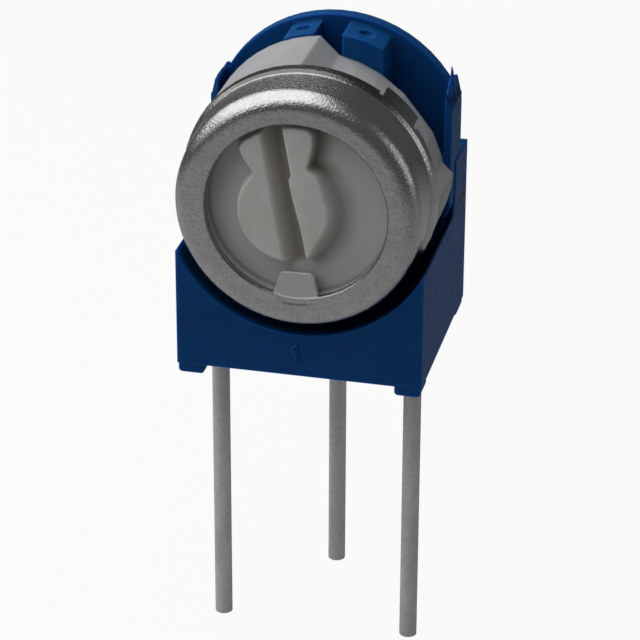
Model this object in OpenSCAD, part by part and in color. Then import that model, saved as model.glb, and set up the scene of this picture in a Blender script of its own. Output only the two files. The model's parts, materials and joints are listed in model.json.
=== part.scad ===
// Round single-turn trimming potentiometer in a side-adjust standoff cradle.
// Frame: X to the right and Z up as seen from the adjusting face, Y away from the viewer.
// Origin: axis of the wiper pin where it meets the board, level with the soles of the feet.

/* [Cradle] */
// width of the moulded cradle across its cheeks
body_w = 6.3; // [6.2:0.02:6.5]
// depth of the cradle from front face to back face
body_d = 5.53; // [5.48:0.02:5.8]
// gap between the housing and the round seat under it
seat_gap = 0.293; // [0.25:0.001:0.33]
// height of the rear wall's ledge above the block's underside
ledge_h = 4.49; // [4.4:0.02:4.6]
// height of the rotor axis above the block's underside
axis_h = 4.62; // [4.56:0.02:4.8]
// distance from the front face to the front of the rear wall
wall_y = 4.05; // [4.0:0.01:4.1]
// distance from the front face to the back of the arch plate
arch_back_y = 4.7; // [4.66:0.01:4.8]
// thickness of the arch plate
arch_t = 0.34; // [0.28:0.02:0.4]
// how far the radius of the arch's rim exceeds half the cradle's width
arch_over = 0.215; // [0.15:0.005:0.28]
// how far each arch cheek stands in from the side face
cheek_inset = 0.03; // [0.02:0.01:0.1]
// thickness of the arch cheeks
cheek_t = 0.19; // [0.15:0.01:0.24]
// radius of the round at the rear end of the seat
seat_round = 0.5; // [0.4:0.05:0.55]
// how far the arch ribs' tops stand below the arch's rim
rib_drop = 0.16; // [0.1:0.02:0.2]
// distance the feet stand below the block
foot_h = 0.25; // [0.2:0.01:0.3]
// width of each foot
foot_w = 0.67; // [0.6:0.01:0.72]
// radius of the feet's lower corners
foot_round = 0.1; // [0.05:0.01:0.12]
// depth of each foot
foot_d = 0.7; // [0.6:0.05:0.9]

/* [Pins] */
// wire diameter of the three pins
pin_d = 0.46; // [0.42:0.01:0.5]
// distance of each outer pin's axis from the cradle's side face
pin_edge = 0.61; // [0.6:0.005:0.63]
// distance of the wiper pin behind the row of the outer pins
pin_row_gap = 2.54; // [2.53:0.01:2.55]
// distance of the outer pins behind the cradle's front face
pin_front_y = 1.95; // [1.9:0.01:2.0]
// length of the outer pins below the board plane
pin_len = 8.14; // [7.5:0.05:8.5]
// length of the wiper pin below the board plane
wiper_pin_len = 7.6; // [7:0.05:8]
// radial clearance of a pin in its moulded hole
pin_clear = 0.01; // [0.01:0.005:0.02]

/* [Round housing] */
// how far the white housing's lobes stand out past the cradle's side faces
shell_proud = 0.05; // [0.02:0.01:0.07]
// distance from the cradle's front face to the housing's back face
shell_back = 3.4; // [3.38:0.01:3.44]
// wall thickness of the housing around the rotor
bore_wall = 0.75; // [0.73:0.005:0.77]
// wall thickness of the housing around the ceramic disc
rear_wall = 0.7; // [0.69:0.005:0.72]
// depth of the shoulder behind the cradle's front face
shoulder_y = 1.6; // [1.58:0.01:1.64]

/* [Metal cap] */
// distance the cap's flat face stands in front of the cradle
cap_front = 0.34; // [0.3:0.01:0.38]
// sheet thickness of the cap
cap_t = 0.17; // [0.15:0.01:0.18]
// how far the cap's lip reaches in over the rotor's bore
cap_lip = 0.16; // [0.14:0.005:0.18]
// how far the cap's side stands in from the housing's lobes
cap_inset = 0.12; // [0.1:0.005:0.13]
// how far the cap's rear rim flares out beyond its side
rim_flare = 0.16; // [0.14:0.01:0.18]
// distance of the cap's rear rim behind the cradle's front face
cap_rear_y = 1.25; // [1.2:0.01:1.3]
// reach of the stop tab in from the window's edge
stop_reach = 0.63; // [0.59:0.01:0.64]
// inward tilt of the stop tab
stop_tilt = 14; // [12:1:16]

/* [Rotor] */
// radial clearance of the rotor in its bore
rotor_gap = 0.05; // [0.04:0.005:0.07]
// gap between the boss and the stop tab's tip
boss_gap = 0.2; // [0.2:0.01:0.26]
// sideways set of the boss and slot from the rotor axis
boss_x = -0.22; // [-0.22:0.01:0]
// downward set of the boss from the rotor axis
boss_y = -0.12; // [-0.12:0.01:0]
// radius of the soft edge round the boss and its tail
soft_r = 0.1; // [0.06:0.01:0.11]
// height of the boss above the recessed disc
boss_h = 0.34; // [0.3:0.01:0.36]
// width of the screwdriver slot
slot_w = 0.52; // [0.48:0.01:0.56]
// depth of the screwdriver slot
slot_depth = 0.52; // [0.45:0.01:0.6]
// turn of the slot and tail from upright, as seen from the front
tail_turn = 10; // [0:1:20]

/* [Hidden] */
// small overlap used only inside one piece, and overshoot of the cuts
e = 0.01;
over = 1;
// sides of a full circle: large rounds, pins and small rounds, soft edges, the tail's corners, the tab's corners
fn_round = 96;
fn_pin = 40;
fn_soft = 20;
fn_tail = 32;
fn_tab = 24;
// steps along a long stretch of a ring
ring_steps = 48;

// overall places
front_y = -(pin_front_y + pin_row_gap);
base_z = foot_h;
axis_z = base_z + axis_h;
half_w = body_w / 2;
pin_r = pin_d / 2;
pin_x = half_w - pin_edge;

// housing, from the cradle's width
shell_r = half_w + shell_proud;
bore_r = shell_r - bore_wall;
rear_bore_r = shell_r - rear_wall;
contact_gap = 0.01;

// cradle
seat_r = shell_r + seat_gap;
side_h = axis_h - sqrt(pow(seat_r, 2) - pow(half_w, 2));
seat_lap = 0.5;
arch_r = half_w + arch_over;
arch_z = 0.065;
arch_root = 0.3;
cheek_x = half_w - cheek_inset;
cheek_gap = 0.02;
wall_d = body_d - wall_y;
arch_front_y = arch_back_y - arch_t;
foot_inset = 0.03;
rib_left = [-1.2, 0.78];
rib_right = [0.3, 1.05];
dimple_r = 0.2;
dimple_depth = 0.09;
pad_w = 0.6;
pad_x = 0.5;
pad_front_y = 1.45;
pad_root = 0.9;
pad_lap = 0.2;
mark_r = 0.17;
mark_depth = 0.05;
mark_h = 0.56;

// cap
window_r = bore_r - cap_lip;
cap_r = shell_r - cap_inset;
cap_rim_r = cap_r + rim_flare;
cap_corner = 0.45;
corner_steps = 12;
cap_crease_y = 0.9;
cap_step = 0.06;
rim_set = 0.12;
edge_break = 0.03;
rim_break = 0.02;
nick_half = 0.9;
nick_depth = 0.12;
tab_root = 0.1;
tab_len = 0.5;
tab_half = 9.5;
tab_turn = 46;
tab_turn_hidden = 180;
collar_r = cap_r - cap_t - contact_gap;
collar_rear_y = cap_rear_y + contact_gap;
collar_bevel = 0.28;
collar_bevel_y = 0.1;

// recess beside the cap's tab: depth in from the lobes and angle of each corner
recess = [[-0.2, 97], [0.04, 94], [0.48, 85], [0.52, 73.6], [0.55, 61], [0.56, 44], [0.51, 26],
          [0.41, 18], [0.32, 6.4], [0.28, 1.6], [-0.02, -3.9], [-0.3, -6]];
recess_over = 0.8;
recess_end = recess[len(recess) - 1][1];
recess_steps = 5;
hidden_recess_half = 17;
hidden_recess_depth = 0.45;

// stop tab
stop_r = window_r - stop_reach;
stop_base_half = 0.62;
stop_tip_half = 0.4;
stop_root = 0.11;
stop_crease = window_r + stop_root;
stop_lift = 0.005;
stop_round = 0.1;

// rotor
rotor_r = bore_r - rotor_gap;
boss_r = stop_r + boss_y - boss_gap;
boss_z = 0.22;
disc_z = boss_z - boss_h;
rim_in_r = window_r + edge_break;
rim_gap = 0.05;
rim_top = cap_front - cap_t - rim_gap;
disc_back_y = 0.95;
tail_gap = 0.09;
tail_tip_r = window_r - tail_gap;
tail_corner = 0.12;
slot_over = 0.06;
neck_half = 0.74;
neck_sink = 0.22;
neck_y = boss_r - neck_sink;
neck_root = 0.4;
flare_half = 1.06;
flare_drop = 0.49;
flare_y = window_r - flare_drop;
flare_in = 0.1;
groove_front_y = 0.42;
groove_w = 0.36;
ring_d = 0.34;
ring_gap = 0.02;
ring_r = bore_r - ring_gap - ring_d / 2;
groove_r = ring_r - ring_d / 2;
hub_r = 1;
hub_back_y = 1.2;

// ceramic disc and what is printed on it
disc_t = 0.6;
disc_r = rear_bore_r - contact_gap;
disc_rear_y = shoulder_y + disc_t;
track_t = 0.02;
track_edge = 0.35;
track_w = 0.65;
track_out = bore_r - track_edge;
track_in = track_out - track_w;
track_from = -44;
track_to = 226;
land_end = 24;
collector_in = 0.3;
collector_out = 0.9;

// wiper
wiper_t = 0.1;
wiper_turn = tail_turn + 6;
tip_r = 0.11;
tip_gap = 0.01;
tip_y = shoulder_y - track_t - tip_gap - tip_r;
tip_reach = (track_in + track_out) / 2;
tip_half = 0.17;
arm_root = 0.6;
return_tip = [0.3, -0.5];

// leads and solder
lead_rise = 0.1;
bend_r = pin_d;
solder_r = 0.4;
solder_h = 0.58;
solder_taper = 0.8;
solder_turn = 43;
solder_edge = 0.05;
solder_reach = rear_bore_r - solder_r - solder_edge;
lead_in_x = solder_reach * sin(solder_turn);
lead_top = axis_z - solder_reach * cos(solder_turn);
lead_back = disc_rear_y + pin_r + contact_gap - pin_front_y;
lead_run = sqrt(pow(lead_back - bend_r, 2) + pow(lead_top - lead_rise, 2) - pow(bend_r, 2));
lead_lean = 90 + atan2(bend_r, lead_run) - atan2(lead_top - lead_rise, lead_back - bend_r);
wiper_lead_drop = 0.6;
wiper_lead_top = axis_z - wiper_lead_drop;
wiper_lean = 8;
wiper_run = (wiper_lead_top - lead_rise - bend_r) / cos(wiper_lean);
wiper_reach = -front_y - disc_rear_y - contact_gap - bend_r - wiper_run * sin(wiper_lean);
hole_r = pin_r + pin_clear;
seal_back_y = 3.3;

// Moves a shape drawn on the rotor axis into place: its Z points at the viewer.
module on_axis() {
    translate([0, front_y, axis_z])
        rotate([90, 0, 0])
            children();
}

// Round disc or ring about the rotor axis between two depths behind the front face.
module axis_ring(y0, y1, r1, r0 = 0, fn = fn_round) {
    translate([0, 0, -y1])
        difference() {
            cylinder(h = y1 - y0, r = r1, $fn = fn);
            if (r0 > 0) {
                translate([0, 0, -e])
                    cylinder(h = y1 - y0 + 2 * e, r = r0, $fn = fn);
            }
        }
}

// Sector of a flat ring between two angles.
module sector(r0, r1, a0, a1, steps = ring_steps) {
    polygon(concat(
        [for (i = [0 : steps]) r1 * [cos(a0 + (a1 - a0) * i / steps), sin(a0 + (a1 - a0) * i / steps)]],
        [for (i = [steps : -1 : 0]) r0 * [cos(a0 + (a1 - a0) * i / steps), sin(a0 + (a1 - a0) * i / steps)]]));
}

// Ball that rounds the end of a spring finger.
module ball(r) {
    rotate_extrude($fn = fn_pin)
        intersection() {
            circle(r, $fn = fn_pin);
            translate([0, -r])
                square([r, 2 * r]);
        }
}

// Straight stretch of wire along Z. What follows starts at its end.
module run(length, r) {
    cylinder(h = length, r = r, $fn = fn_pin);
    translate([0, 0, length])
        children();
}

// Bend of a wire that runs along Z, by an angle towards a direction. What follows starts at its end.
module bend(angle, towards, r) {
    rotate(towards) {
        translate([bend_r, 0, 0])
            rotate([90, 0, 180])
                rotate_extrude(angle = angle, $fn = fn_round)
                    translate([bend_r, 0])
                        circle(r, $fn = fn_pin);
        translate([bend_r * (1 - cos(angle)), 0, bend_r * sin(angle)])
            rotate([0, angle, 0])
                rotate(-towards)
                    children();
    }
}

// Outer lead: straight through the board, then leaning back through the block and in to its solder pad.
module outer_lead(side, r) {
    mirror([side < 0 ? 1 : 0, 0, 0])
        translate([pin_x, front_y + pin_front_y, -pin_len])
            run(pin_len + lead_rise, r)
                bend(lead_lean, 90, r)
                    run(lead_run - bend_r, r)
                        bend(90, 180, r)
                            run(pin_x - bend_r - lead_in_x, r);
}

// Wiper lead: straight through the board, leaning forward inside the rear wall, then on to the disc.
module wiper_lead(r) {
    translate([0, 0, -wiper_pin_len])
        run(wiper_pin_len + lead_rise, r)
            bend(wiper_lean, -90, r)
                run(wiper_run, r)
                    bend(90 - wiper_lean, -90, r)
                        run(wiper_reach, r);
}

// Space for the round housing: a cylinder with a rounded rear end.
module seat_cut() {
    on_axis()
        rotate_extrude($fn = fn_round)
            difference() {
                translate([0, -wall_y])
                    square([seat_r, wall_y + over]);
                difference() {
                    translate([seat_r - seat_round, -wall_y - e])
                        square([seat_round + e, seat_round + e]);
                    translate([seat_r - seat_round, -wall_y + seat_round])
                        circle(seat_round, $fn = fn_pin);
                }
            }
}

// Upright rib between the arch plate and the housing.
module rib(x0, w) {
    on_axis()
        translate([0, 0, -arch_front_y - e])
            linear_extrude(height = arch_front_y + e - shell_back)
                intersection() {
                    translate([x0, -axis_h + over])
                        square([w, 2 * axis_h]);
                    translate([0, arch_z])
                        circle(arch_r - rib_drop, $fn = fn_round);
                }
}

// Round ejector mark in the top of a rib.
module dimple(x) {
    rib_top = sqrt(pow(arch_r - rib_drop, 2) - pow(x, 2));
    translate([x, front_y + (shell_back + arch_front_y) / 2, axis_z + arch_z + rib_top - dimple_depth])
        cylinder(h = over, r = dimple_r, $fn = fn_pin);
}

// Foot with its lower corners rounded, seen from the front.
module foot() {
    translate([0, foot_d, 0])
        rotate([90, 0, 0])
            linear_extrude(height = foot_d) {
                translate([-foot_w / 2, foot_round])
                    square([foot_w, foot_h - foot_round + e]);
                translate([-foot_w / 2 + foot_round, 0])
                    square([foot_w - 2 * foot_round, foot_h]);
                for (side = [-1, 1]) {
                    translate([side * (foot_w / 2 - foot_round), foot_round])
                        circle(foot_round, $fn = fn_pin);
                }
            }
}

module cradle() {
    color([0.03, 0.2, 0.55])
        difference() {
            union() {
                // block with the seat
                difference() {
                    translate([-half_w, front_y, base_z])
                        cube([body_w, wall_y + e, side_h + seat_lap]);
                    seat_cut();
                }
                difference() {
                    translate([-half_w, front_y + wall_y - seat_round, base_z])
                        cube([body_w, seat_round + e, ledge_h]);
                    seat_cut();
                }
                // rear wall up to the ledge
                translate([-half_w, front_y + wall_y, base_z])
                    cube([body_w, wall_d, ledge_h]);
                // arch plate
                on_axis()
                    translate([0, 0, -arch_back_y])
                        linear_extrude(height = arch_t)
                            intersection() {
                                translate([0, arch_z])
                                    circle(arch_r, $fn = fn_round);
                                translate([-cheek_x, ledge_h - axis_h - arch_root])
                                    square([2 * cheek_x, 2 * arch_r]);
                            }
                // cheeks
                on_axis()
                    translate([0, 0, -arch_back_y])
                        linear_extrude(height = arch_back_y - shell_back - cheek_gap)
                            intersection() {
                                translate([0, arch_z])
                                    circle(arch_r, $fn = fn_round);
                                union() {
                                    translate([cheek_x - cheek_t, -axis_h + side_h - seat_lap])
                                        square([cheek_t, 2 * arch_r]);
                                    translate([-cheek_x, -axis_h + side_h - seat_lap])
                                        square([cheek_t, 2 * arch_r]);
                                }
                            }
                // ribs behind the housing
                rib(rib_left[0], rib_left[1]);
                rib(rib_right[0], rib_right[1]);
                // two pads that carry the housing
                for (s = [-1, 1]) {
                    difference() {
                        translate([s * pad_x - pad_w / 2, front_y + pad_front_y, base_z + pad_root])
                            cube([pad_w, wall_y - pad_front_y, axis_h - shell_r - pad_root + pad_lap]);
                        on_axis()
                            axis_ring(0, shell_back, shell_r);
                    }
                }
                // feet
                for (sx = [-1, 1]) {
                    for (fy = [foot_inset, body_d - foot_inset - foot_d]) {
                        translate([sx * (half_w - foot_inset - foot_w / 2), front_y + fy, 0])
                            foot();
                    }
                }
            }
            // holes for the leads
            outer_lead(-1, hole_r);
            outer_lead(1, hole_r);
            wiper_lead(hole_r);
            // ejector marks on the ribs and a plain round moulding mark on the front
            dimple(rib_left[0] + rib_left[1] / 2);
            dimple(rib_right[0] + rib_right[1] / 2);
            translate([0, front_y - e, base_z + mark_h])
                rotate([-90, 0, 0])
                    cylinder(h = mark_depth + e, r = mark_r, $fn = fn_pin);
        }
}

module shell() {
    color([0.88, 0.88, 0.85])
        difference() {
            on_axis()
                difference() {
                    union() {
                        axis_ring(collar_rear_y, shell_back, shell_r);
                        axis_ring(collar_bevel_y, collar_rear_y + e, collar_r);
                        translate([0, 0, -collar_bevel_y - e])
                            cylinder(h = cap_front - cap_t + collar_bevel_y + e, r1 = collar_r,
                                     r2 = collar_r - collar_bevel, $fn = fn_round);
                    }
                    translate([0, 0, -shoulder_y])
                        cylinder(h = shoulder_y + over, r = bore_r, $fn = fn_round);
                    translate([0, 0, -shell_back - e])
                        cylinder(h = shell_back - shoulder_y + e, r = rear_bore_r, $fn = fn_round);
                    // recess beside the cap's tab, and a smaller one out of sight
                    translate([0, 0, -shell_back - e])
                        linear_extrude(height = shell_back - collar_rear_y + 2 * e)
                            polygon(concat(
                                [for (p = recess) (shell_r - p[0]) * [cos(p[1]), sin(p[1])]],
                                [for (i = [0 : recess_steps])
                                    let (a = recess_end + (recess[0][1] - recess_end) * i / recess_steps)
                                        (shell_r + recess_over) * [cos(a), sin(a)]]));
                    translate([0, 0, -shell_back - e])
                        linear_extrude(height = shell_back - collar_rear_y + 2 * e)
                            sector(shell_r - hidden_recess_depth, shell_r + recess_over,
                                   tab_turn_hidden - hidden_recess_half,
                                   tab_turn_hidden + hidden_recess_half, corner_steps);
                }
            outer_lead(-1, hole_r);
            outer_lead(1, hole_r);
        }
}

// Section of the cap: lip, rounded edge, side, crease and flared rim.
module cap_profile() {
    ci = cap_corner - cap_t;
    corner_r = cap_r - cap_corner;
    corner_z = cap_front - cap_corner;
    turn = 90 / corner_steps;
    polygon(concat(
        [[window_r, cap_front - cap_t], [window_r, cap_front - edge_break], [window_r + edge_break, cap_front]],
        [for (i = [0 : corner_steps]) [corner_r, corner_z] + cap_corner * [sin(i * turn), cos(i * turn)]],
        [[cap_r + cap_step, -cap_crease_y], [cap_rim_r - rim_break, -cap_crease_y - rim_set],
         [cap_rim_r, -cap_rear_y], [cap_rim_r - cap_t, -cap_rear_y],
         [cap_rim_r - rim_break - cap_t, -cap_crease_y - rim_set], [cap_r + cap_step - cap_t, -cap_crease_y]],
        [for (i = [corner_steps : -1 : 0]) [corner_r, corner_z] + ci * [sin(i * turn), cos(i * turn)]]));
}

module cap() {
    color([0.62, 0.62, 0.62])
        on_axis() {
            difference() {
                rotate_extrude($fn = fn_round)
                    cap_profile();
                // relief nicks in the rim beside each tab
                for (a = [tab_turn, tab_turn_hidden]) {
                    for (side = [-1, 1]) {
                        rotate(a + side * (tab_half + nick_half))
                            translate([cap_r, 0, -cap_rear_y - over])
                                linear_extrude(height = over + nick_depth)
                                    square([over, 2 * cap_rim_r * sin(nick_half)], center = true);
                    }
                }
            }
            // stop tab, bent in from the window's lower edge
            translate([0, -stop_crease, cap_front - stop_lift])
                rotate([-stop_tilt, 0, 0])
                    translate([0, 0, -cap_t])
                        linear_extrude(height = cap_t)
                            offset(r = stop_round, $fn = fn_tab)
                                offset(delta = -stop_round)
                                    polygon([[-stop_base_half, 0], [stop_base_half, 0],
                                             [stop_tip_half, stop_crease - stop_r],
                                             [-stop_tip_half, stop_crease - stop_r]]);
            // retaining tabs at the rear rim
            for (a = [tab_turn, tab_turn_hidden]) {
                translate([0, 0, -cap_rear_y - tab_len])
                    linear_extrude(height = tab_len + tab_root)
                        sector(cap_rim_r - cap_t + rim_break, cap_rim_r - rim_break, a - tab_half, a + tab_half,
                               corner_steps);
            }
        }
}

// Outline of the flared tail above the boss, cut by the window's edge.
module tail_outline() {
    offset(r = tail_corner, $fn = fn_tail)
        offset(delta = -tail_corner)
            intersection() {
                translate([boss_x, boss_y])
                    rotate(tail_turn)
                        polygon([[-neck_half, neck_root], [neck_half, neck_root], [neck_half, neck_y],
                                 [flare_half, flare_y], [flare_half - flare_in, tail_tip_r + over],
                                 [flare_in - flare_half, tail_tip_r + over], [-flare_half, flare_y],
                                 [-neck_half, neck_y]]);
                circle(tail_tip_r, $fn = fn_round);
            }
}

module rotor() {
    color([0.8, 0.8, 0.76])
        on_axis()
            difference() {
                union() {
                    // disc, with its rim under the cap's lip
                    axis_ring(-disc_z, disc_back_y, rotor_r);
                    translate([0, 0, disc_z - e])
                        difference() {
                            cylinder(h = rim_top - disc_z + e, r = rotor_r, $fn = fn_round);
                            translate([0, 0, -e])
                                cylinder(h = over, r = rim_in_r, $fn = fn_round);
                        }
                    // raised boss and its flared tail, with softly rounded edges
                    translate([0, 0, disc_z - soft_r - e])
                        minkowski() {
                            linear_extrude(height = boss_h + e)
                                offset(delta = -soft_r) {
                                    translate([boss_x, boss_y])
                                        circle(boss_r, $fn = fn_round);
                                    tail_outline();
                                }
                            sphere(soft_r, $fn = fn_soft);
                        }
                    // hub for the wiper
                    axis_ring(disc_back_y - e, hub_back_y, hub_r);
                }
                // screwdriver slot
                translate([boss_x, boss_y, boss_z - slot_depth])
                    rotate(tail_turn)
                        translate([-slot_w / 2, -boss_r - slot_over, 0])
                            cube([slot_w, boss_r + tail_tip_r + 2 * slot_over, over]);
                // groove for the seal ring
                axis_ring(groove_front_y, groove_front_y + groove_w, rotor_r + over, groove_r);
            }
}

module seal_ring() {
    color([0.08, 0.08, 0.08])
        on_axis()
            translate([0, 0, -groove_front_y - groove_w / 2])
                rotate_extrude($fn = fn_round)
                    translate([ring_r, 0])
                        circle(ring_d / 2, $fn = fn_pin);
}

// Spring finger tip: a rod from the plate down to its rounded contact.
module wiper_tip(x, y) {
    translate([x, y, -tip_y]) {
        ball(tip_r);
        cylinder(h = tip_y - hub_back_y - wiper_t / 2, r = tip_r, $fn = fn_pin);
    }
}

// Spring plate with one pair of tips on the track and one pair on the collector.
module wiper() {
    color([0.75, 0.66, 0.42])
        on_axis()
            rotate(wiper_turn) {
                axis_ring(hub_back_y, hub_back_y + wiper_t, hub_r);
                for (s = [-1, 1]) {
                    translate([s * tip_half - tip_r, arm_root, -hub_back_y - wiper_t])
                        cube([2 * tip_r, tip_reach + tip_r - arm_root, wiper_t]);
                    wiper_tip(s * tip_half, tip_reach);
                    wiper_tip(s * return_tip[0], return_tip[1]);
                }
            }
}

module substrate() {
    color([0.92, 0.92, 0.9])
        on_axis()
            axis_ring(shoulder_y, disc_rear_y, disc_r);
}

module on_substrate() {
    on_axis()
        translate([0, 0, -shoulder_y])
            linear_extrude(height = track_t)
                children();
}

module track() {
    color([0.12, 0.12, 0.13])
        on_substrate()
            sector(track_in, track_out, track_from, track_to);
}

module track_land_left() {
    color([0.75, 0.75, 0.72])
        on_substrate()
            sector(track_in, track_out, track_to, track_to + land_end, corner_steps);
}

module track_land_right() {
    color([0.75, 0.75, 0.72])
        on_substrate()
            sector(track_in, track_out, track_from - land_end, track_from, corner_steps);
}

module collector() {
    color([0.75, 0.75, 0.72])
        on_substrate()
            difference() {
                circle(collector_out, $fn = fn_round);
                circle(collector_in, $fn = fn_pin);
            }
}

// Low cone of solder on the ceramic disc's rear face, over one lead's end.
module solder_blob(x, z) {
    translate([x, front_y + disc_rear_y, z])
        rotate([-90, 0, 0])
            cylinder(h = solder_h, r1 = solder_r, r2 = solder_r * solder_taper, $fn = fn_pin);
}

module all_solder() {
    solder_blob(-lead_in_x, lead_top);
    solder_blob(lead_in_x, lead_top);
    solder_blob(0, wiper_lead_top);
}

module all_leads() {
    outer_lead(-1, pin_r);
    outer_lead(1, pin_r);
    wiper_lead(pin_r);
}

module solder_joints() {
    color([0.7, 0.7, 0.7])
        difference() {
            all_solder();
            all_leads();
        }
}

module pin_left() {
    color([0.66, 0.66, 0.62])
        outer_lead(-1, pin_r);
}

module pin_right() {
    color([0.66, 0.66, 0.62])
        outer_lead(1, pin_r);
}

module pin_wiper() {
    color([0.66, 0.66, 0.62])
        wiper_lead(pin_r);
}

module rear_seal() {
    color([0.75, 0.7, 0.55])
        difference() {
            on_axis()
                axis_ring(disc_rear_y, seal_back_y, rear_bore_r);
            all_leads();
            all_solder();
        }
}

cradle();
shell();
cap();
rotor();
seal_ring();
wiper();
substrate();
track();
track_land_left();
track_land_right();
collector();
solder_joints();
pin_left();
pin_right();
pin_wiper();
rear_seal();
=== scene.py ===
import json
import math
import bpy
import bmesh
from mathutils import Matrix, Vector


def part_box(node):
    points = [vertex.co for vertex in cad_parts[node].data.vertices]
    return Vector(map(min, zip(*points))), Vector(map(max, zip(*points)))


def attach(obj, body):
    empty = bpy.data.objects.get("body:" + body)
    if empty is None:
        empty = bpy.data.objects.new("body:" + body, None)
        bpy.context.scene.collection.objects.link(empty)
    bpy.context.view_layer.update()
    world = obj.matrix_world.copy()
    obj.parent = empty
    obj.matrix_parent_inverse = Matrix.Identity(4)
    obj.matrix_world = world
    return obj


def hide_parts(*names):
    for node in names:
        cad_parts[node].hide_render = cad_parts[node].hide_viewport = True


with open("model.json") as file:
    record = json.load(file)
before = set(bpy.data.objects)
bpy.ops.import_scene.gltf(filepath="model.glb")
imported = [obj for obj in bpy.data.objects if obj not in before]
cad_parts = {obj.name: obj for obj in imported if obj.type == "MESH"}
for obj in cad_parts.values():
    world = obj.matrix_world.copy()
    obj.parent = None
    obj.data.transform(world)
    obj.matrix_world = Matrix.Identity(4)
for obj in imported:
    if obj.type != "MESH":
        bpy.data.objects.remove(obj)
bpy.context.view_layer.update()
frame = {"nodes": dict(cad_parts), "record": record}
NODES = frame["nodes"]
MM = 0.001

# Camera, fitted to the photograph's edges: focal length in pixels, place in mm, turns in radians, clips in m
PHOTO_PX = 640
FOCAL_PX = 2939.25
SENSOR_MM = 36.0
CAM_AT = Vector((15.468, -68.109, 34.094)) * MM
AZIMUTH = 0.230285
ELEVATION = 0.458083
ROLL = 0.003850
CLIP_NEAR = 0.002
CLIP_FAR = 5.0


def make_camera():
    level_out = math.cos(ELEVATION)
    back = Vector((math.sin(AZIMUTH) * level_out, -math.cos(AZIMUTH) * level_out, math.sin(ELEVATION)))
    level = Vector((math.cos(AZIMUTH), math.sin(AZIMUTH), 0.0))
    upward = back.cross(level)
    right = level * math.cos(ROLL) + upward * math.sin(ROLL)
    up = upward * math.cos(ROLL) - level * math.sin(ROLL)
    data = bpy.data.cameras.new("camera")
    data.sensor_width = SENSOR_MM
    data.lens = FOCAL_PX * SENSOR_MM / PHOTO_PX
    data.clip_start = CLIP_NEAR
    data.clip_end = CLIP_FAR
    camera = bpy.data.objects.new("camera", data)
    camera.matrix_world = Matrix.Translation(CAM_AT) @ Matrix((right, up, back)).transposed().to_4x4()
    bpy.context.scene.collection.objects.link(camera)
    bpy.context.scene.camera = camera


make_camera()

# Places from the frame, in mm: the rotor's axis, face and depth, the cap's front and the cradle's outside
ROTOR_LOW, ROTOR_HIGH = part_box("rotor")
AXIS_X = (ROTOR_LOW.x + ROTOR_HIGH.x) / 2 / MM
AXIS_Z = (ROTOR_LOW.z + ROTOR_HIGH.z) / 2 / MM
ROTOR_R = (ROTOR_HIGH.x - ROTOR_LOW.x) / 2 / MM
ROTOR_DEPTH = (ROTOR_HIGH.y - ROTOR_LOW.y) / MM
BOSS_TOP_Y = ROTOR_LOW.y / MM
CAP_FRONT_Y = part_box("cap")[0].y / MM
CRADLE_LOW, CRADLE_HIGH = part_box("cradle")
CRADLE_FRONT_Y = CRADLE_LOW.y / MM
CRADLE_TOP_Z = CRADLE_HIGH.z / MM
HALF_W = CRADLE_HIGH.x / MM

# Places that the materials follow, in mm: the cradle's seat and the stretch over which shade deepens in it
SEAT_R = 3.493
SEAT_SHADE = (-4.45, -4.2)
# the cap's window edge and stop tab, as radii, and the short crease below the tab
WINDOW_R = 2.30
TAB_REACH = (2.27, 2.29)
CREASE_R = 2.46
CREASE_HALF = 0.05
CREASE_HALF_X = 0.55
CREASE_Z = (2.8, 3.0)
# the cap's rear flare and the heights between which it is drawn dark, as painted shade
FLARE_R = 3.195
FLARE_SHADE_Z = (6.6, 7.6)
# height over the board by which the wires are drawn dark, as painted shade under the block
BLOCK_SHADE_Z = 0.4

# Places of the colour sockets on Blender's Mix node
MIX_FIRST = 6
MIX_SECOND = 7
MIX_RESULT = 2


def is_output(value):
    return hasattr(value, "is_linked")


def rgba(colour):
    return colour if is_output(colour) else (*colour, 1.0)


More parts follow.
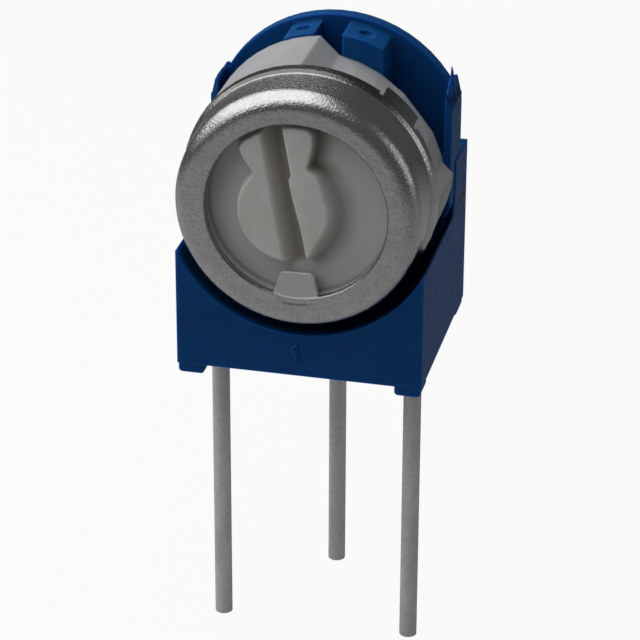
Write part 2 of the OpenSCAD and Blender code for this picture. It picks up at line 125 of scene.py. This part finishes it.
class Mat:
    """A node material: its shader, and helpers that add nodes and return their outputs."""

    def __init__(self, name):
        self.made = bpy.data.materials.new(name)
        self.made.use_nodes = True
        self.tree = self.made.node_tree
        self.shader = self.tree.nodes["Principled BSDF"]
        self.place = self.node("TexCoord").outputs["Object"]

    def node(self, kind):
        return self.tree.nodes.new("ShaderNode" + kind)

    def feed(self, socket, value):
        """Links an output to the socket, or sets a constant on it."""
        if is_output(value):
            self.tree.links.new(value, socket)
        else:
            socket.default_value = value

    def set(self, **constants):
        for name, value in constants.items():
            self.shader.inputs[name.replace("_", " ")].default_value = value

    def scatter(self, weight, radius, scale):
        self.set(Subsurface_Weight=weight, Subsurface_Radius=radius, Subsurface_Scale=scale)

    def color(self, colour):
        self.feed(self.shader.inputs["Base Color"], colour)

    def rough(self, amount):
        self.feed(self.shader.inputs["Roughness"], amount)

    def bump(self, height, distance_mm, strength, normal=None):
        n = self.node("Bump")
        n.inputs["Strength"].default_value = strength
        n.inputs["Distance"].default_value = distance_mm * MM
        self.feed(n.inputs["Height"], height)
        if normal is not None:
            self.feed(n.inputs["Normal"], normal)
        self.feed(self.shader.inputs["Normal"], n.outputs["Normal"])

    def stretched(self, along_z):
        """Place with its height scaled, for marks that run along the wires."""
        n = self.node("Mapping")
        n.inputs["Scale"].default_value = (1.0, 1.0, along_z)
        self.feed(n.inputs["Vector"], self.place)
        return n.outputs["Vector"]

    def noise(self, per_mm, detail=4.0, rough=0.55, at=None):
        n = self.node("TexNoise")
        n.inputs["Scale"].default_value = per_mm / MM
        n.inputs["Detail"].default_value = detail
        n.inputs["Roughness"].default_value = rough
        self.feed(n.inputs["Vector"], self.place if at is None else at)
        return n.outputs["Fac"]

    def ramp(self, source, start, dark, end, light):
        n = self.node("ValToRGB")
        for stop, position, colour in zip(n.color_ramp.elements, (start, end), (dark, light)):
            stop.position = position
            stop.color = rgba(colour)
        self.feed(n.inputs["Fac"], source)
        return n.outputs["Color"]

    def value(self, source, low, high, start=0.3, end=0.7):
        """Turns the source's stretch from start to end into low to high, and keeps within them."""
        n = self.node("MapRange")
        n.inputs["From Min"].default_value = start
        n.inputs["From Max"].default_value = end
        n.inputs["To Min"].default_value = low
        n.inputs["To Max"].default_value = high
        self.feed(n.inputs["Value"], source)
        return n.outputs["Result"]

    def mix(self, share, first, second):
        n = self.node("Mix")
        n.data_type = "RGBA"
        self.feed(n.inputs["Factor"], share)
        self.feed(n.inputs[MIX_FIRST], rgba(first))
        self.feed(n.inputs[MIX_SECOND], rgba(second))
        return n.outputs[MIX_RESULT]

    def math(self, operation, a, b=0.0):
        n = self.node("Math")
        n.operation = operation
        self.feed(n.inputs[0], a)
        self.feed(n.inputs[1], b)
        return n.outputs[0]

    def times(self, a, b):
        return self.math("MULTIPLY", a, b)

    def axis(self, letter):
        n = self.node("SeparateXYZ")
        self.feed(n.inputs["Vector"], self.place)
        return n.outputs[letter]

    def from_axis(self):
        """Distance from the rotor's axis, and distance to the side of it."""
        up = self.math("SUBTRACT", self.axis("Z"), AXIS_Z * MM)
        across = self.math("SUBTRACT", self.axis("X"), AXIS_X * MM)
        square = self.math("ADD", self.times(up, up), self.times(across, across))
        return self.math("SQRT", square), across

    def pulse(self, along, centre_mm, half_mm):
        """1 at the centre, falling to 0 at half a width on either side."""
        off = self.math("ABSOLUTE", self.math("SUBTRACT", along, centre_mm * MM))
        return self.value(off, 1.0, 0.0, 0.0, half_mm * MM)

    def between(self, along, low, high, start_mm, end_mm):
        return self.value(along, low, high, start_mm * MM, end_mm * MM)

    def attribute(self, name):
        n = self.node("Attribute")
        n.attribute_name = name
        return n.outputs["Fac"]

    def edges(self, radius_mm):
        """1 on sharp edges and 0 on flats, and the rounded normal that tells them apart."""
        bevel = self.node("Bevel")
        bevel.samples = 4
        bevel.inputs["Radius"].default_value = radius_mm * MM
        agree = self.node("VectorMath")
        agree.operation = "DOT_PRODUCT"
        self.feed(agree.inputs[0], bevel.outputs["Normal"])
        self.feed(agree.inputs[1], self.node("NewGeometry").outputs["Normal"])
        return self.value(agree.outputs["Value"], 1.0, 0.0, 0.80, 0.99), bevel.outputs["Normal"]


def blue_plastic():
    m = Mat("cradle_plastic")
    m.set(Specular_IOR_Level=0.14)
    m.scatter(0.8, (0.08, 0.35, 1.0), 0.00035)
    edge, normal = m.edges(0.11)
    cloud = m.noise(0.9, rough=0.6)
    speck = m.noise(20.0, 3.0, 0.7)
    base = m.ramp(cloud, 0.3, (0.002, 0.070, 0.25), 0.7, (0.003, 0.090, 0.31))
    base = m.mix(m.value(speck, 0.0, 0.45, 0.5, 0.75), base, (0.008, 0.10, 0.30))
    # painted highlight: sharp edges are drawn a lighter blue
    base = m.mix(m.times(edge, 0.65), base, (0.006, 0.15, 0.50))
    # shade that gathers in the seat; it also draws a thin arc on the block's rear face, where none belongs
    in_seat = m.pulse(m.from_axis()[0], SEAT_R, 0.06)
    deep = m.between(m.axis("Y"), 0.0, 0.8, *SEAT_SHADE)
    m.color(m.mix(m.times(in_seat, deep), base, (0.001, 0.004, 0.012)))
    m.rough(m.value(m.noise(6.0), 0.40, 0.58))
    m.bump(m.noise(22.0, rough=0.65), 0.010, 0.7, normal)
    return m.made


def white_plastic():
    m = Mat("shell_plastic")
    m.set(Specular_IOR_Level=0.3)
    m.scatter(0.3, (0.5, 0.45, 0.4), 0.0003)
    edge, normal = m.edges(0.16)
    grain = m.noise(17.0, rough=0.7)
    base = m.ramp(m.noise(0.9), 0.3, (0.46, 0.465, 0.48), 0.7, (0.55, 0.552, 0.565))
    base = m.mix(m.value(grain, 0.0, 0.35, 0.45, 0.75), base, (0.33, 0.335, 0.35))
    # painted highlight: sharp edges are drawn a lighter grey
    m.color(m.mix(m.times(edge, 0.2), base, (0.7, 0.7, 0.7)))
    m.rough(m.value(grain, 0.55, 0.72))
    m.bump(grain, 0.012, 0.6, normal)
    return m.made


def rotor_plastic():
    m = Mat("rotor_plastic")
    m.set(Specular_IOR_Level=0.4)
    m.scatter(0.5, (1.0, 0.85, 0.6), 0.00025)
    base = m.ramp(m.noise(1.4), 0.3, (0.71, 0.70, 0.68), 0.7, (0.80, 0.79, 0.77))
    stain = m.noise(0.8, 3.0, 0.6)
    base = m.mix(m.value(stain, 0.0, 0.35, 0.48, 0.7), base, (0.58, 0.54, 0.43))
    # painted shade: the low disc round the boss, and the hidden sides, are drawn greyer than the boss's top
    base = m.mix(m.times(m.attribute("low"), 0.85), base, (0.60, 0.62, 0.63))
    # painted shade, drawn dark tan, in the slot, round the rim, right of the boss and on the hidden sides
    m.color(m.mix(m.times(m.attribute("painted_shade"), 0.85), base, (0.20, 0.175, 0.12)))
    m.rough(m.value(m.noise(9.0, 3.0), 0.38, 0.52))
    m.bump(m.noise(12.0, rough=0.6), 0.008, 0.5)
    return m.made


def cap_metal():
    m = Mat("cap_metal")
    m.set(Metallic=1.0)
    normal = m.edges(0.04)[1]
    grain = m.noise(15.0, 3.0, 0.6)
    radius, across = m.from_axis()
    height = m.axis("Z")
    base = m.ramp(m.noise(2.2), 0.25, (0.58, 0.585, 0.58), 0.75, (0.68, 0.68, 0.67))
    base = m.mix(m.value(grain, 0.0, 0.4, 0.35, 0.7), base, (0.38, 0.38, 0.375))
    tab = m.between(radius, 1.0, 0.0, *TAB_REACH)
    base = m.mix(tab, base, (0.86, 0.86, 0.85))
    # painted shade: the rear flare is drawn dark towards its top
    flare = m.value(m.pulse(radius, FLARE_R, 0.05), 0.0, 0.9, 0.0, 0.3)
    flare = m.times(flare, m.between(height, 0.0, 1.0, *FLARE_SHADE_Z))
    base = m.mix(flare, base, (0.13, 0.13, 0.13))
    # painted shade: a thin band along the window's edge is drawn darker
    lip = m.value(m.pulse(radius, WINDOW_R, 0.04), 0.0, 0.55)
    base = m.mix(lip, base, (0.16, 0.16, 0.16))
    # the crease below the tab is drawn dark, as painted shade in its groove; the bump below dents it too
    crease = m.times(m.pulse(radius, CREASE_R, CREASE_HALF), m.pulse(across, 0.0, CREASE_HALF_X))
    crease = m.times(crease, m.between(height, 1.0, 0.0, *CREASE_Z))
    crease = m.times(crease, m.value(grain, 0.2, 1.0, 0.4, 0.55))
    m.color(m.mix(crease, base, (0.10, 0.09, 0.075)))
    m.rough(m.math("ADD", m.value(grain, 0.17, 0.30), m.times(tab, 0.25)))
    m.bump(m.math("SUBTRACT", grain, crease), 0.012, 1.0, normal)
    return m.made


def tinned_wire():
    m = Mat("tinned_wire")
    m.set(Metallic=0.2)
    streak = m.noise(5.0, rough=0.6, at=m.stretched(0.15))
    grain = m.noise(11.0, 5.0, 0.75)
    stain = m.noise(1.3, 3.0, 0.6, m.stretched(0.4))
    base = m.ramp(streak, 0.3, (0.78, 0.775, 0.76), 0.7, (0.90, 0.895, 0.88))
    base = m.mix(m.value(grain, 0.0, 0.5, 0.45, 0.8), base, (0.42, 0.415, 0.40))
    base = m.mix(m.value(stain, 0.0, 0.35, 0.45, 0.7), base, (0.42, 0.415, 0.40))
    # painted shade: the wires are drawn near black from the block's underside up
    under_block_shade = m.between(m.axis("Z"), 0.0, 1.0, 0.0, BLOCK_SHADE_Z)
    m.color(m.mix(under_block_shade, base, (0.012, 0.012, 0.014)))
    m.rough(m.value(grain, 0.42, 0.62))
    m.bump(grain, 0.012, 0.7)
    return m.made


def plain(name, dark, light, rough, metallic=0.0):
    m = Mat(name)
    m.set(Metallic=metallic)
    grain = m.noise(12.0, rough=0.65)
    m.color(m.ramp(grain, 0.3, dark, 0.7, light))
    m.rough(m.value(grain, rough - 0.06, rough + 0.08))
    m.bump(grain, 0.006, 0.4)
    return m.made


MATS = {
    "cradle_plastic": blue_plastic(),
    "shell_plastic": white_plastic(),
    "cap_metal": cap_metal(),
    "rotor_plastic": rotor_plastic(),
    "tinned_wire": tinned_wire(),
    "seal_rubber": plain("seal_rubber", (0.012, 0.012, 0.012), (0.03, 0.03, 0.03), 0.6),
    "wiper_metal": plain("wiper_metal", (0.62, 0.48, 0.26), (0.74, 0.6, 0.36), 0.3, 1.0),
    "alumina": plain("alumina", (0.74, 0.73, 0.7), (0.84, 0.83, 0.8), 0.55),
    "cermet_track": plain("cermet_track", (0.02, 0.02, 0.022), (0.05, 0.05, 0.052), 0.45),
    "land_metal": plain("land_metal", (0.5, 0.49, 0.46), (0.64, 0.63, 0.6), 0.4, 1.0),
    "solder": plain("solder", (0.42, 0.42, 0.41), (0.55, 0.55, 0.54), 0.4, 1.0),
    "seal_resin": plain("seal_resin", (0.36, 0.29, 0.16), (0.46, 0.38, 0.22), 0.35),
}
for part in frame["record"]["subparts"]:
    node = NODES[part["node"]]
    node.data.materials.clear()
    node.data.materials.append(MATS[part["material_slot"]])
    for face in node.data.polygons:
        face.material_index = 0


# Helpers for shapes
def smooth(t):
    t = min(max(t, 0.0), 1.0)
    return t * t * (3.0 - 2.0 * t)


def blend(value, start, end):
    """0 at the start, 1 at the end, with a soft step between; start may lie past end."""
    return smooth((value - start) / (end - start))


def soft_max(a, b, k):
    near = max(k - abs(a - b), 0.0) / k
    return max(a, b) + near * near * k / 4


def soft_min(a, b, k):
    return -soft_max(-a, -b, k)


def hump(off, half):
    return math.exp(-(off / half) ** 2)


def skin(bm, rings):
    """Joins each closed ring of vertices to the next."""
    for ring, following in zip(rings, rings[1:]):
        for k in range(len(ring)):
            n = (k + 1) % len(ring)
            bm.faces.new((ring[k], ring[n], following[n], following[k]))


def finish_piece(bm, name, slot, body, is_sharp=None):
    """Makes the object, with the slot's material, and lets it ride with the body."""
    bmesh.ops.recalc_face_normals(bm, faces=bm.faces)
    for f in bm.faces:
        f.smooth = len(f.verts) == 4
    if is_sharp:
        for e in bm.edges:
            e.smooth = not is_sharp(e)
    mesh = bpy.data.meshes.new(name)
    bm.to_mesh(mesh)
    bm.free()
    mesh.materials.append(MATS[slot])
    piece = bpy.data.objects.new(name, mesh)
    bpy.context.scene.collection.objects.link(piece)
    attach(piece, body)
    return piece


def finish_loft(bm, rings, name, slot):
    """Skins a row of closed sections, closes its ends and makes the piece on the base."""
    skin(bm, rings)
    bm.faces.new(rings[0])
    bm.faces.new(rings[-1])
    finish_piece(bm, name, slot, "base")


# Rotor: the form of its solid, with soft moulded edges and a soft left flank in the slot; lengths in mm
SLOT_LEAN = math.radians(10)
BOSS_AT = (-0.22, -0.12)
BOSS_R = 1.34
BOSS_H = 0.34
TAIL_R = 2.2
TAIL_ROOT_Y = 0.4
NECK = (0.74, 1.12)
FLARE = (1.06, 1.80)
FLARE_END = (0.96, 3.2)
CORNER = 0.2
NECK_ROUND = 0.12
# slot: its right wall steps in below the neck and slants back, its left side is a sloping flank
SLOT_HALF = 0.26
SLOT_DEPTH = 0.52
SLOT_STEP = 0.08
NECK_LOW_Y = NECK[1] - 0.1
STEP_IN_Y = (NECK_LOW_Y, NECK_LOW_Y - 0.15)
STEP_BACK_Y = (NECK_LOW_Y - 0.15, NECK_LOW_Y - 1.75)
SLOT_FOOT_Y = (-BOSS_R - 0.26, -BOSS_R + 0.02)
SLOT_TOP_R = (TAIL_R + 0.06, TAIL_R + 0.01)
FLANK = (-0.38, -0.02)
LIP_WALL = 0.035
# soft top edge, which is wider on the right between its top and its foot
EDGE_SOFT = 0.09
EDGE_FOOT = 0.04
RIGHT_SOFT = 0.32
SOFT_X = (-0.1, 0.8)
SOFT_TOP_Y = (NECK_LOW_Y, NECK_LOW_Y - 0.8)
SOFT_FOOT_Y = (-1.5, -0.8)
# square grid of the face, pulled round outside a share of its width and laid along the slot's wall
FACE_R = ROTOR_R - 0.08
FACE_STEPS = 192
SQUARE_SHARE = 6 / 11
WALL_PULL = 0.3
# rings behind the face: rim, groove for the seal ring, back and hub
RIM_Y = 0.10
RIM_BREAK = 0.02
GROOVE_FRONT_Y = 0.64
GROOVE_BACK_Y = 1.00
GROOVE_R = 2.09
BACK_Y = 1.17
HUB_R = 1.0
SHARP_TURN = math.radians(50)
# painted shade, drawn dark tan: in the slot, round the rim, as a halo right of the boss and on the hidden
# sides
SLOT_SHADE = 0.75
RIM_SHADE = 0.5
RIM_SHADE_R = (FACE_R - 0.12, FACE_R - 0.02)
HALO = 0.5
HALO_X = (0.1, 0.6)
HALO_Y = (0.6, 1.1)
HIDDEN_SHADE = 0.5


def beyond_line(x, y, start, end):
    """Distance to the right of the line from start to end."""
    along = (end[0] - start[0], end[1] - start[1])
    return ((x - start[0]) * along[1] - (y - start[1]) * along[0]) / math.hypot(*along)


def outside(x, y, far):
    """Distance outside the outline of the boss and its tail, negative inside it."""
    side = beyond_line(abs(x), y, NECK, FLARE)
    end = beyond_line(abs(x), y, FLARE, FLARE_END)
    tail = soft_max(soft_max(side, end, CORNER), far - TAIL_R, CORNER)
    tail = max(tail, TAIL_ROOT_Y - y)
    return soft_min(math.hypot(x, y) - BOSS_R, tail, NECK_ROUND)


def slot_wall(y):
    """Place of the slot's right wall, which steps in at the neck and slants back below it."""
    return SLOT_HALF - SLOT_STEP * blend(y, *STEP_IN_Y) * (1 - blend(y, *STEP_BACK_Y))


def face_point(x, y, far):
    """Depth behind the boss's top, and how low the place is and how much painted shade it gets, in the
    slot's own frame.
    """
    out = outside(x, y, far)
    soft = EDGE_SOFT + RIGHT_SOFT * blend(x, *SOFT_X) * blend(y, *SOFT_TOP_Y) * blend(y, *SOFT_FOOT_Y)
    fall = blend(out, -soft, EDGE_FOOT)
    ends = blend(y, *SLOT_FOOT_Y) * blend(far, *SLOT_TOP_R)
    wall = slot_wall(y)
    slot = blend(x, *FLANK) * blend(x, wall, wall - LIP_WALL) * ends
    depth = max(BOSS_H * fall, SLOT_DEPTH * slot)
    halo = blend(out, HALO, 0.0) * blend(x, *HALO_X) * fall * (0.5 + 0.5 * blend(y, *HALO_Y))
    rim = blend(far, *RIM_SHADE_R)
    return depth, fall * (1 - slot), max(slot * SLOT_SHADE, rim * RIM_SHADE, halo)


# Radius and depth behind the boss's top of the rings from the face's edge round to the hub
ROTOR_PROFILE = [
    (FACE_R, RIM_Y + RIM_BREAK),
    (FACE_R + RIM_BREAK, RIM_Y),
    (ROTOR_R - RIM_BREAK, RIM_Y),
    (ROTOR_R, RIM_Y + RIM_BREAK),
    (ROTOR_R, GROOVE_FRONT_Y),
    (GROOVE_R, GROOVE_FRONT_Y),
    (GROOVE_R, GROOVE_BACK_Y),
    (ROTOR_R, GROOVE_BACK_Y),
    (ROTOR_R, BACK_Y),
    (HUB_R, BACK_Y),
    (HUB_R, ROTOR_DEPTH),
]


def make_rotor():
    bm = bmesh.new()
    low = bm.verts.layers.float.new("low")
    painted_shade = bm.verts.layers.float.new("painted_shade")
    lean_c = math.cos(SLOT_LEAN)
    lean_s = math.sin(SLOT_LEAN)
    centre_u = BOSS_AT[0] * lean_c + BOSS_AT[1] * lean_s
    centre_v = BOSS_AT[1] * lean_c - BOSS_AT[0] * lean_s

    def vertex(u, v, depth, lowness, shaded):
        x = AXIS_X + u * lean_c - v * lean_s
        z = AXIS_Z + u * lean_s + v * lean_c
        made = bm.verts.new((x * MM, (BOSS_TOP_Y + depth) * MM, z * MM))
        made[low] = lowness
        made[painted_shade] = shaded
        return made

    def face_vertex(i, j):
        """A point of the square grid, its outside pulled round and a column laid along the slot's wall."""
        u = FACE_R * (2 * i / FACE_STEPS - 1)
        v = FACE_R * (2 * j / FACE_STEPS - 1)
        reach = max(abs(u), abs(v))
        far = math.hypot(u, v)
        if far > 0:
            pull = 1 + (reach / far - 1) * blend(reach / FACE_R, SQUARE_SHARE, 1.0)
            u *= pull
            v *= pull
        y = v - centre_v
        u += (slot_wall(y) - SLOT_HALF) * blend(abs(u - centre_u - SLOT_HALF), WALL_PULL, 0.0)
        return vertex(u, v, *face_point(u - centre_u, y, math.hypot(u, v)))

    def is_sharp(edge):
        turned = len(edge.link_faces) == 2 and edge.calc_face_angle() > SHARP_TURN
        return turned and edge.verts[0][low] == 1.0

    last = FACE_STEPS
    grid = [[face_vertex(i, j) for j in range(last + 1)] for i in range(last + 1)]
    for i in range(last):
        for j in range(last):
            bm.faces.new((grid[i][j], grid[i + 1][j], grid[i + 1][j + 1], grid[i][j + 1]))
    border = ([grid[i][0] for i in range(last)] + [grid[last][j] for j in range(last)]
              + [grid[i][last] for i in range(last, 0, -1)] + [grid[0][j] for j in range(last, 0, -1)])
    turns = []
    for v in border:
        turns.append(math.atan2(v.co.z / MM - AXIS_Z, v.co.x / MM - AXIS_X) - SLOT_LEAN)
    rings = [border]
    for radius, depth in ROTOR_PROFILE:
        ring = []
        for turn in turns:
            ring.append(vertex(radius * math.cos(turn), radius * math.sin(turn), depth, 1.0, HIDDEN_SHADE))
        rings.append(ring)
    skin(bm, rings)
    bm.faces.new(rings[-1])
    piece = finish_piece(bm, "rotor_moulding", "rotor_plastic", "rotor", is_sharp)
    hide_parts("rotor")


make_rotor()

# Cap: the rounded edge is tighter along its lower half than at the top; lengths in mm
CAP_R = HALF_W - 0.07
CAP_ROUND = 0.45
TIGHT_ROUND = 0.25
EDGE_FROM = math.radians(-232)
EDGE_TO = math.radians(12)
EDGE_FADE = 0.2
EDGE_PROUD = 0.002
EDGE_SUNK = 0.008
EDGE_STEPS = 120
ROUND_STEPS = 12
# start and return of the section, inside the metal, as distances in from the side and behind the front
EDGE_START = [(0.64, 0.05), (0.62, 0.006), (0.60, 0.005)]
EDGE_RETURN = [(0.06, 0.54), (0.19, 0.19)]
FLAT_FROM = 0.46
SIDE_TO = 0.5


def cap_edge_section(share):
    """Radius and depth of the section's points, where share tells how tight the edge is."""
    corner = CAP_ROUND + (TIGHT_ROUND - CAP_ROUND) * share
    proud = EDGE_PROUD * share - EDGE_SUNK * (1 - share)
    side = CAP_R + proud
    section = [(CAP_R - inward, depth) for inward, depth in EDGE_START]
    section.append((CAP_R - FLAT_FROM, -proud))
    for k in range(ROUND_STEPS + 1):
        lean = math.pi / 2 * k / ROUND_STEPS
        section.append((side - corner * (1 - math.sin(lean)), corner * (1 - math.cos(lean)) - proud))
    section.append((side, SIDE_TO))
    return section + [(CAP_R - inward, depth) for inward, depth in EDGE_RETURN]


def make_cap_edge():
    bm = bmesh.new()
    rings = []
    for i in range(EDGE_STEPS + 1):
        t = i / EDGE_STEPS
        turn = EDGE_FROM + (EDGE_TO - EDGE_FROM) * t
        ring = []
        for radius, depth in cap_edge_section(blend(t, 0.0, EDGE_FADE) * blend(t, 1.0, 1 - EDGE_FADE)):
            x = AXIS_X + radius * math.cos(turn)
            z = AXIS_Z + radius * math.sin(turn)
            ring.append(bm.verts.new((x * MM, (CAP_FRONT_Y + depth) * MM, z * MM)))
        rings.append(ring)
    finish_loft(bm, rings, "cap_edge", "cap_metal")


make_cap_edge()

# Moulding flash on the cheeks' tops, a ragged fin on the right and a low one on the left; lengths in mm
CHEEK_OUT = HALF_W - 0.035
CHEEK_IN = HALF_W - 0.22
CHEEK_FRONT_Y = -1.07
CHEEK_BACK_Y = 0.21
ARCH_Z = AXIS_Z + 0.065
ARCH_R = CRADLE_TOP_Z - ARCH_Z
FLASH_STEPS = 44
FLASH_INSET = 0.01
FLASH_TIP = CHEEK_IN + 0.03
FLASH_PROUD = 0.004
SPIKE_HALF = 0.13
# stretches of the fin, from 0 at its front to 1 at its back, where its ridge and shoulder rise or fall
RIDGE_RISE = (0.0, 0.25)
RIDGE_FALL = (0.5, 1.0)
SHOULDER_RISE = (0.0, 0.6)
# how fast each wave runs along the fin, where it starts and its share of the raggedness
RAGGED_WAVES = [(17, 0, 0.5), (41, 1, 0.3), (5, 0, 0.4)]


def arch_height(x):
    return ARCH_Z + math.sqrt(ARCH_R ** 2 - x ** 2)


def make_flash(name, side, height, spike, spike_at, ragged):
    """A thin fin along a cheek's top with a narrow spike on its ridge."""
    out_z = arch_height(CHEEK_OUT)
    in_z = arch_height(CHEEK_IN)
    bm = bmesh.new()
    rings = []
    for i in range(FLASH_STEPS + 1):
        t = i / FLASH_STEPS
        y = CHEEK_FRONT_Y + FLASH_INSET + (CHEEK_BACK_Y - CHEEK_FRONT_Y - 2 * FLASH_INSET) * t
        uneven = ragged * sum(share * math.sin(fast * t + start) for fast, start, share in RAGGED_WAVES)
        ridge = height * (0.45 + 0.55 * blend(t, *RIDGE_RISE)) * (1 - 0.35 * blend(t, *RIDGE_FALL)) + uneven
        ridge += spike * max(0.0, 1 - abs(t - spike_at) / SPIKE_HALF)
        shoulder = height * (0.3 + 0.25 * blend(t, *SHOULDER_RISE)) + uneven
        section = [
            (CHEEK_OUT, out_z - 0.04),
            (CHEEK_OUT + FLASH_PROUD, out_z + shoulder * 0.9),
            (CHEEK_OUT - 0.02, out_z + shoulder),
            (FLASH_TIP + 0.05, in_z + ridge * 0.85),
            (FLASH_TIP + 0.02, in_z + ridge),
            (FLASH_TIP, in_z + ridge),
            (CHEEK_IN + FLASH_PROUD, in_z + height * 0.4),
            (CHEEK_IN + FLASH_PROUD, in_z - 0.06),
        ]
        rings.append([bm.verts.new((side * x * MM, y * MM, z * MM)) for x, z in section])
    finish_loft(bm, rings, name, "cradle_plastic")


make_flash("flash_right", side=1, height=0.42, spike=0.28, spike_at=0.48, ragged=0.02)
make_flash("flash_left", side=-1, height=0.08, spike=0.03, spike_at=0.9, ragged=0.01)

# Rough remains of the moulding gate low on the cradle's front, over its round mark; lengths in mm
SCAR_X = -0.02
SCAR_Z = 0.92
SCAR_R = 0.27
SCAR_ROOT = 0.3
SCAR_SUNK = 0.006
SCAR_TURNS = 40
SCAR_RINGS = 14
SCAR_EDGE = (SCAR_R, SCAR_R - 0.04)
SCAR_SINK = (SCAR_R - 0.05, SCAR_R)
LUMP = 0.085
LUMP_R = 0.07
LUMP_AT = (-0.01, 0.01)
RIDGE = 0.065
RIDGE_R = 0.15
STEM = 0.06
STEM_X = -0.03
STEM_FROM = (0.1, 0.15)
THIN = 0.03


def scar_height(across, up):
    """How far the scar stands out: a lump, a broken ridge round it and a stem above and below."""
    out = math.hypot(across, up)
    turn = math.atan2(up, across)
    from_lump = math.hypot(across - LUMP_AT[0], up - LUMP_AT[1])
    lump = LUMP * hump(from_lump, LUMP_R) * (1 + 0.4 * math.sin(5 * turn))
    ridge = RIDGE * hump(out - RIDGE_R, THIN) * (0.55 + 0.45 * math.sin(3 * turn + 1))
    stem = STEM * hump(across - STEM_X, THIN) * blend(abs(up), *STEM_FROM)
    return (lump + ridge + stem) * blend(out, *SCAR_EDGE) - SCAR_SUNK * blend(out, *SCAR_SINK)


def make_gate_scar():
    bm = bmesh.new()
    rings = []
    for i in range(-1, SCAR_RINGS + 1):
        out = SCAR_R * (1 - max(i, 0) / (SCAR_RINGS + 1))
        root = SCAR_ROOT if i < 0 else 0.0
        ring = []
        for k in range(SCAR_TURNS):
            turn = 2 * math.pi * k / SCAR_TURNS
            across = out * math.cos(turn)
            up = out * math.sin(turn)
            y = CRADLE_FRONT_Y + root - scar_height(across, up)
            ring.append(bm.verts.new(((SCAR_X + across) * MM, y * MM, (SCAR_Z + up) * MM)))
        rings.append(ring)
    finish_loft(bm, rings, "gate_scar", "cradle_plastic")


make_gate_scar()

# Floor: pale and lit for the object, white to the camera, with its faint shadow; half its size in metres
FLOOR_HALF = 1.2
FLOOR_CELLS = 8
FLOOR_GREY = (0.5, 0.5, 0.5, 1)
FLOOR_ROUGH = 0.9
SHOWN_WHITE = 0.94
WORLD_LIGHT = 0.08
WHITE = (1, 1, 1, 1)


def shader_node(tree, kind, **constants):
    node = tree.nodes.new(kind)
    for name, value in constants.items():
        node.inputs[name].default_value = value
    return node


def white_to_camera(tree, lit, white, share):
    """Mixes the lit shader with the white one by a share that counts for camera rays alone."""
    rays = tree.nodes.new("ShaderNodeLightPath")
    part = tree.nodes.new("ShaderNodeMath")
    part.operation = "MULTIPLY"
    part.inputs[1].default_value = share
    mix = tree.nodes.new("ShaderNodeMixShader")
    tree.links.new(rays.outputs["Is Camera Ray"], part.inputs[0])
    tree.links.new(part.outputs[0], mix.inputs["Fac"])
    tree.links.new(lit.outputs[0], mix.inputs[1])
    tree.links.new(white.outputs[0], mix.inputs[2])
    return mix.outputs[0]


def make_floor(height):
    material = bpy.data.materials.new("floor")
    material.use_nodes = True
    tree = material.node_tree
    lit = tree.nodes["Principled BSDF"]
    lit.inputs["Base Color"].default_value = FLOOR_GREY
    lit.inputs["Roughness"].default_value = FLOOR_ROUGH
    white = shader_node(tree, "ShaderNodeEmission", Color=WHITE, Strength=1.0)
    shown = white_to_camera(tree, lit, white, SHOWN_WHITE)
    tree.links.new(shown, tree.nodes["Material Output"].inputs["Surface"])
    mesh = bpy.data.meshes.new("floor")
    bm = bmesh.new()
    bmesh.ops.create_grid(bm, x_segments=FLOOR_CELLS, y_segments=FLOOR_CELLS, size=FLOOR_HALF)
    bm.to_mesh(mesh)
    bm.free()
    mesh.materials.append(material)
    floor = bpy.data.objects.new("floor", mesh)
    floor.location = (0, 0, height)
    bpy.context.scene.collection.objects.link(floor)


def make_world():
    world = bpy.data.worlds.new("world")
    bpy.context.scene.world = world
    world.use_nodes = True
    tree = world.node_tree
    lit = tree.nodes["Background"]
    lit.inputs["Color"].default_value = WHITE
    lit.inputs["Strength"].default_value = WORLD_LIGHT
    white = shader_node(tree, "ShaderNodeBackground", Color=WHITE, Strength=1.0)
    tree.links.new(white_to_camera(tree, lit, white, 1.0), tree.nodes["World Output"].inputs["Surface"])


def softbox(name, at, target, size, radiance, color=(1, 1, 1)):
    """A rectangular lamp of a given brightness as seen in a mirror; places and sizes in mm."""
    data = bpy.data.lights.new(name, "AREA")
    data.shape = "RECTANGLE"
    data.size = size[0] * MM
    data.size_y = size[1] * MM
    data.energy = radiance * math.pi * data.size * data.size_y
    data.color = color
    lamp = bpy.data.objects.new(name, data)
    lamp.location = Vector(at) * MM
    lamp.rotation_euler = (Vector(target) * MM - lamp.location).to_track_quat("-Z", "Y").to_euler()
    bpy.context.scene.collection.objects.link(lamp)


make_floor(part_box("pin_left")[0].z)
make_world()
softbox("overhead left", at=(-30, -6, 52), target=(0, -3, 4), size=(112, 92), radiance=1.35)
softbox("right", at=(85, -5, 30), target=(0, -3, 2), size=(35, 55), radiance=0.75, color=(0.94, 0.96, 1.0))

bpy.context.scene.view_settings.view_transform = "Standard"
